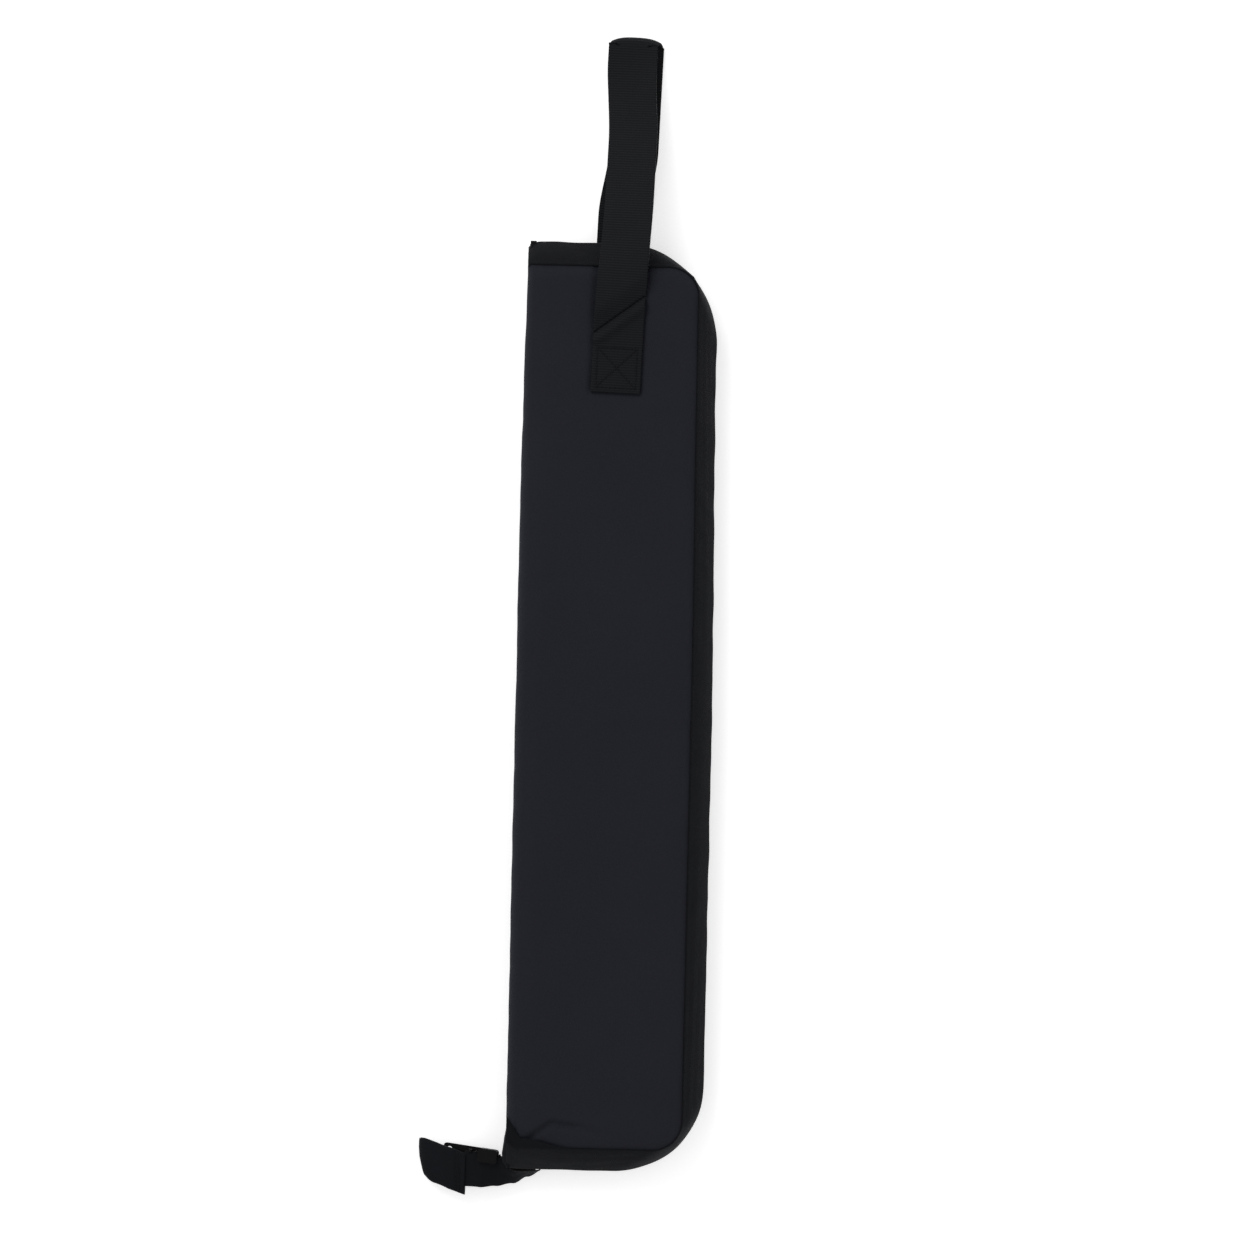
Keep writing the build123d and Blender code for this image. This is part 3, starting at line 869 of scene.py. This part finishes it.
def front_height(along, across):
    """Height of the upper leg's middle: sewn flat, creased where it lifts off, then falling to its fold."""
    flat = TOP + SEWN_LIFT
    crease_along = mix(17 * MM, 37 * MM, (across + HALF_WEBBING) / (2 * HALF_WEBBING))
    past = along - crease_along
    swell = 1.9 * MM * math.exp(-(((past + 4.5 * MM) / (3.4 * MM)) ** 2)) * smooth(10 * MM, 15 * MM, along)
    valley = -1.3 * MM * math.exp(-((past / (0.9 * MM)) ** 2)) * smooth(8 * MM, 12 * MM, along)
    rise = 3.4 * MM * smooth(-1 * MM, 13 * MM, past)
    near = flat + swell + valley + rise
    start = 50 * MM
    share = min(1.0, max(0.0, (along - start) / (APEX_ALONG - start)))
    fall = share * share * (3 - 2 * share) * 0.75 + share * 0.25
    low = 2 * FOLD_RADIUS + FLOOR_LINE
    return mix(near, low, fall)


def strap_rows():
    """Rows across the upper leg, from its sewn end to its fold's outermost line, closest at its crease."""
    rows = []
    along = LEG_START
    while along < APEX_ALONG:
        rows.append(strap_row(along, "front"))
        along += 0.4 * MM if 10 * MM < along < 44 * MM else 1.1 * MM
    for k in range(FOLD_STEPS + 1):
        rows.append(fold_row(math.pi / 2 * k / FOLD_STEPS))
    return rows


def leg_shift(along, leg):
    """How far a leg strays sideways; the lower one shows on one side near the fold and then on the other."""
    if leg == "front":
        return 1.9 * MM * smooth(25 * MM, 90 * MM, along) - 2.4 * MM * smooth(115 * MM, 155 * MM, along)
    return -1.1 * MM * smooth(30 * MM, 62 * MM, along) + 3.7 * MM * smooth(78 * MM, 112 * MM, along)


def strap_row(along, leg):
    """One line across a leg; the upper leg rolls over a little between the bag and the fold."""
    cx, cy = strap_centre(along)
    cx += leg_shift(along, leg)
    roll = 0.0
    if leg == "front":
        roll = math.radians(14) * smooth(32 * MM, 70 * MM, along) * (1 - smooth(140 * MM, APEX_ALONG, along))
    row = []
    for j in range(STRAP_COLUMNS):
        across = mix(-HALF_WEBBING, HALF_WEBBING, j / (STRAP_COLUMNS - 1))
        z = front_height(along, across) + across * math.sin(roll) if leg == "front" else FLOOR_LINE
        edge = 0.18 * MM * ripple(along, across * 3, 18 * MM, 4.0 if leg == "front" else 8.0)
        x = cx + across * math.cos(roll) * math.cos(LEAN)
        row.append(Vector((x, cy - across * math.sin(LEAN), z + edge * smooth(16 * MM, 30 * MM, along))))
    return row


def fold_row(angle):
    """One line across the fold; 0 is its top, pi / 2 its outermost line and pi its bottom."""
    cx, cy = strap_centre(APEX_ALONG)
    cx += mix(leg_shift(APEX_ALONG, "front"), leg_shift(APEX_ALONG, "back"), angle / math.pi)
    row = []
    for j in range(STRAP_COLUMNS):
        across = mix(-HALF_WEBBING, HALF_WEBBING, j / (STRAP_COLUMNS - 1))
        across *= 1 - 0.05 * math.sin(angle)
        bow = 1.6 * MM * abs(across / HALF_WEBBING) ** 3
        reach = (FOLD_RADIUS - bow * 0.5) * math.sin(angle) - bow
        height = FLOOR_LINE + FOLD_RADIUS * (1 + math.cos(angle))
        row.append(Vector((cx + across, cy + reach - across * math.sin(LEAN), height)))
    return row


def lower_strap_rows():
    """Rows across the lower leg, from the outermost line of the fold back to its sewn end."""
    steps = 150
    rows = [fold_row(mix(math.pi / 2, math.pi, k / FOLD_STEPS)) for k in range(FOLD_STEPS + 1)]
    rows += [strap_row(mix(APEX_ALONG, LEG_START, k / steps), "back") for k in range(1, steps + 1)]
    return [list(reversed(row)) for row in rows]


front_strap = thicken(grid("handle_upper_leg", strap_rows(), WEBBING), WEBBING_THICKNESS)
back_strap = thicken(grid("handle_lower_leg", lower_strap_rows(), WEBBING), WEBBING_THICKNESS)
for strap, cover, node in (
    (front_strap, "front_cover", "handle_front_leg"),
    (back_strap, "back_cover", "handle_back_leg"),
):
    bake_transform(strap)
    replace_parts(strap, node)


def box_cross(height, name, up):
    """Box of stitches with a cross in it that sews the webbing to a cover."""
    half = 10 * MM
    corners = [(-half, -half), (half, -half), (half, half), (-half, half)]
    lines = [(corners[k], corners[(k + 1) % 4]) for k in range(4)]
    lines += [(corners[0], corners[2]), (corners[1], corners[3])]
    tubes = []
    for (ax, ay), (bx, by) in lines:
        ends = []
        for across, along in ((ax, ay), (bx, by)):
            cx, cy = strap_centre(along)
            ends.append(Vector((cx + across * math.cos(LEAN), cy - across * math.sin(LEAN), height)))
        tubes += stitch_row(ends, 2.1 * MM, 1.7 * MM, up, 0.3 * MM)
    return join_tubes(name, tubes, THREAD)


front_box = box_cross(TOP + SEWN_LIFT + WEBBING_THICKNESS / 2, "handle_front_box_stitches", UP)
back_box = box_cross(FLOOR_LINE - WEBBING_THICKNESS / 2, "handle_back_box_stitches", -UP)
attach(front_box, "front_cover")
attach(back_box, "back_cover")
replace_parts(front_box, "handle_front_stitching")
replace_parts(back_box, "handle_back_stitching")

# ---- zip tail ----


def tail_point(along, across, up):
    """A point given along the tail from its root, across it away from the coils, and above its middle."""
    return TAIL_ROOT + TAIL_ALONG * along + TAIL_ACROSS * across + TAIL_UP * up


def along_curve(value, stops):
    """Smooth curve through (position, height) stops."""
    for (a, low), (b, high) in zip(stops, stops[1:]):
        if value <= b:
            return mix(low, high, smooth(a, b, value))
    return stops[-1][1]


# The tail's two edges in its own frame, in millimetres. Each stop is a distance along it from its root and
# the place there. The coil edge leaves the zip's corner and reaches the slider. The free edge starts hanging
# down and swings out until the tapes lie nearly flat.
COIL_ACROSS = [(-13, -3.4), (-1, -2.0), (8.5, -7.5), (26, -7.5)]
COIL_UP = [(-13, -0.6), (0, -0.3), (8, 0.0), (26, 0.0)]
FREE_ACROSS = [(-14, -4.2), (-6.7, 0.4), (0, 5.0), (8, 8.0), (16, 9.8), (26, 10.6)]
FREE_UP = [(-14, -7.2), (-4, -7.6), (8, -4.0), (17, -0.6), (26, 0.0)]
TAIL_START = -13
TAB_START = 23.5


def tail_frame(along):
    """Coil edge, free edge and upward direction of the folded tapes, given millimetres along the tail."""
    coil = tail_point(along * MM, along_curve(along, COIL_ACROSS) * MM, along_curve(along, COIL_UP) * MM)
    free = tail_point(along * MM, along_curve(along, FREE_ACROSS) * MM, along_curve(along, FREE_UP) * MM)
    return coil, free, TAIL_ALONG.cross(free - coil).normalized()


def tail_tape(side, name):
    """One tape of the folded tail; side is 1 for the upper and -1 for the lower."""
    steps, columns = 59, 16
    rows = []
    for i in range(steps + 1):
        along = mix(TAIL_START, TAB_START + 2, i / steps)
        coil, free, up = tail_frame(along)
        row = []
        for j in range(columns + 1):
            share = j / columns
            gape = (0.55 + 0.5 * share * (1 - smooth(18, 24, along))) * MM
            crimp = 0.4 * MM * ripple(along * MM, share * 14 * MM, 5 * MM, 20) * smooth(0, 0.3, share)
            row.append(coil.lerp(free, share) + up * (side * gape + crimp))
        rows.append(row if side < 0 else list(reversed(row)))
    return thicken(grid(name, rows, TAPE), 0.6 * MM, 0)


def tail_coils(side, name):
    """Row of coils along the folded edge of the tail."""
    tubes = []
    pitch = COIL_PITCH / MM
    start, finish = -10, TAB_START - 1.5
    for n in range(int((finish - start) / pitch)):
        coil, free, up = tail_frame(start + n * pitch)
        out = (coil - free).normalized()
        loop = []
        for k in range(COIL_BEND):
            share = k / (COIL_BEND - 1)
            angle = math.pi * share - math.pi / 2
            place = coil + out * (math.cos(angle) * COIL_HEAD - 0.3 * MM)
            place += up * ((side * 0.8 + math.sin(angle) * 0.5) * MM)
            loop.append(place + TAIL_ALONG * (side * (share - 0.5) * COIL_PITCH * 0.7))
        tubes.append(tube_rings(loop, 0.28 * MM, 5))
    return join_tubes(name, tubes, COIL)


for side, word in ((1, "upper"), (-1, "lower")):
    tape = tail_tape(side, f"tail_{word}_tape_cloth")
    coils = tail_coils(side, f"tail_{word}_coils")
    for piece, node, slot in (
        (tape, f"tail_{word}_tape", "zip_tape"),
        (coils, f"tail_{word}_coil", "zip_coil"),
    ):
        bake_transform(piece)
        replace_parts(piece, node)


TAB_SLANT = math.radians(12.6)  # of its long edges, towards the coils
TAB_SHEAR = math.radians(6)  # of its sewn end
TAB_HALF = 10.4  # half its width in millimetres
TAB_LENGTH = 24  # along its middle, before its fold rounds out
TAB_SEAMS = (3.0, 4.8)  # its two rows of stitching, from its sewn end


def tab_point(along, across, up):
    """A point of the end tab in millimetres from its sewn end; the tab is sewn on a little askew."""
    from_middle = along - TAB_LENGTH / 2
    turned_along = from_middle * math.cos(TAB_SLANT) - across * math.sin(TAB_SHEAR)
    turned_across = across * math.cos(TAB_SHEAR) - from_middle * math.sin(TAB_SLANT)
    return tail_point((TAB_START + TAB_LENGTH / 2 + turned_along) * MM, (turned_across + 1.9) * MM, up * MM)


def end_tab():
    """Cloth folded over the tapes' ends: flat at its seam, fuller at its fold, longer on the coils' side."""
    ring_count, steps = 56, 42
    rows = []
    for i in range(steps + 1):
        share = i / steps
        thick = mix(1.6, 2.15, smooth(0.15, 0.5, share)) * max(0.06, 1 - share**12) ** 0.5
        for dip in TAB_SEAMS:
            thick -= 0.5 * math.exp(-(((share * TAB_LENGTH - dip) / 0.55) ** 2))
        half = TAB_HALF * (1 - 0.05 * smooth(0.86, 1, share))
        row = []
        for j in range(ring_count):
            angle = 2 * math.pi * j / ring_count
            cosine, sine = math.cos(angle), math.sin(angle)
            across = math.copysign(abs(cosine) ** 0.35, cosine)
            length = mix(TAB_LENGTH + 1.4, TAB_LENGTH - 2.4, (across + 1) / 2)
            length += 1.6 * (1 - across * across) - 1.4 * smooth(0.8, 1, across)
            along = length * share + 0.35 * ripple(across, sine, 0.6, 35) * share
            wobble = 0.35 * ripple(share * TAB_LENGTH, cosine * 3, 7, 33)
            lift = math.copysign(abs(sine) ** 0.45, sine) * thick
            lift += 0.3 * ripple(along, across * TAB_HALF, 8, 31) * (1 if sine > 0 else 0.6)
            row.append(tab_point(along, across * half + wobble, lift))
        rows.append(row)
    for index, source in ((0, rows[0]), (len(rows) + 1, rows[-1])):
        middle = sum(source, Vector()) / ring_count
        rows.insert(index, [middle + (point - middle) * 0.5 for point in source])
        rows.insert(index + (1 if index else 0), [middle + (point - middle) * 0.02 for point in source])
    return grid("tail_end_tab_cloth", rows, TAB, None, True)


tab = end_tab()
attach(tab, "tail")
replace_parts(tab, "tail_end_tab")


def tab_stitches():
    """Two rows of stitches across the tab, on both of its faces."""
    tubes = []
    reach, height = 9.3, 1.25
    for along in TAB_SEAMS:
        for face in (1, -1):
            line = [tab_point(along, -reach, face * height), tab_point(along, reach, face * height)]
            tubes += stitch_row(line, 2.1 * MM, 1.7 * MM, TAIL_UP * face, 0.24 * MM)
    return join_tubes("tail_tab_stitches", tubes, THREAD)


tab_seams = tab_stitches()
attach(tab_seams, "tail")
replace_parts(tab_seams, "tab_stitching")

# ---- hard parts kept from the frame ----

for node, bevel in (
    ("slider_body", 0.3 * MM),
    ("slider_crown", 0.2 * MM),
    ("pull_tab", 0.25 * MM),
    ("tail_bottom_stop", 0.25 * MM),
    ("front_zip_top_stop", 0.2 * MM),
    ("back_zip_top_stop", 0.2 * MM),
):
    part = frame["nodes"][node]
    for slot_of_material in part.material_slots:
        slot_of_material.material = METAL
    rounding = part.modifiers.new("soft_edges", "BEVEL")
    rounding.width = bevel
    rounding.segments = 3
    rounding.limit_method = "ANGLE"

# ---- floor, light and camera ----


def pale_floor():
    """White floor with a slight glow, as bright as the background behind the bag."""
    material = bpy.data.materials.new("pale_floor")
    material.use_nodes = True
    tree = material.node_tree
    shader = tree.nodes["Principled BSDF"]
    where = tree.nodes.new("ShaderNodeTexCoord").outputs["Object"]
    tone = math_node(tree, "MULTIPLY_ADD", noise_node(tree, where, 3, 2), 0.02, 0.9)
    joined = tree.nodes.new("ShaderNodeCombineXYZ")
    for socket in joined.inputs:
        link(tree, tone, socket)
    link(tree, joined.outputs[0], shader.inputs["Base Color"])
    shader.inputs["Roughness"].default_value = 0.9
    shader.inputs["Emission Color"].default_value = (1, 1, 1, 1)
    shader.inputs["Emission Strength"].default_value = 0.5
    return material


FLOOR_SIZE = 12
FLOOR_GAP = 0.4 * MM  # under the frame's own floor, clear of the undersides' cloth
bpy.ops.mesh.primitive_plane_add(size=FLOOR_SIZE, location=(0, 0, -FLOOR_GAP))
floor = bpy.context.object
floor.name = "studio_floor"
floor.data.materials.append(pale_floor())

world = bpy.data.worlds.new("studio")
bpy.context.scene.world = world
world.use_nodes = True
world.node_tree.nodes["Background"].inputs["Color"].default_value = (1, 1, 1, 1)
world.node_tree.nodes["Background"].inputs["Strength"].default_value = 0.6


def softbox(name, place, size, power):
    """Square lamp at a place, aimed at the middle of the bag."""
    light = bpy.data.lights.new(name, "AREA")
    light.shape = "SQUARE"
    light.size = size
    light.energy = power
    lamp = bpy.data.objects.new(name, light)
    lamp.location = place
    lamp.rotation_euler = (-Vector(place)).to_track_quat("-Z", "Y").to_euler()
    bpy.context.collection.objects.link(lamp)


softbox("key_light", (-0.9, 1.3, 1.4), 1.1, 14)
softbox("fill_light", (1.2, -0.8, 2.2), 1.8, 2.5)

VIEW_WIDTH = 0.631  # across the picture, at the height of the bag's middle
CAMERA_HEIGHT = 3.0
CAMERA_ROLL = math.radians(1.3)
camera_data = bpy.data.cameras.new("camera")
SENSOR = 36  # millimetres, as the lens is
camera_data.sensor_width = SENSOR
camera_data.lens = SENSOR * (CAMERA_HEIGHT - MIDDLE) / VIEW_WIDTH
camera_data.clip_end = 50
camera = bpy.data.objects.new("camera", camera_data)
camera.location = (3.84 * MM, 42.6 * MM, CAMERA_HEIGHT)
camera.rotation_euler = (0, 0, CAMERA_ROLL)
bpy.context.collection.objects.link(camera)
bpy.context.scene.camera = camera
bpy.context.scene.view_settings.view_transform = "Standard"
bpy.context.scene.view_settings.look = "None"
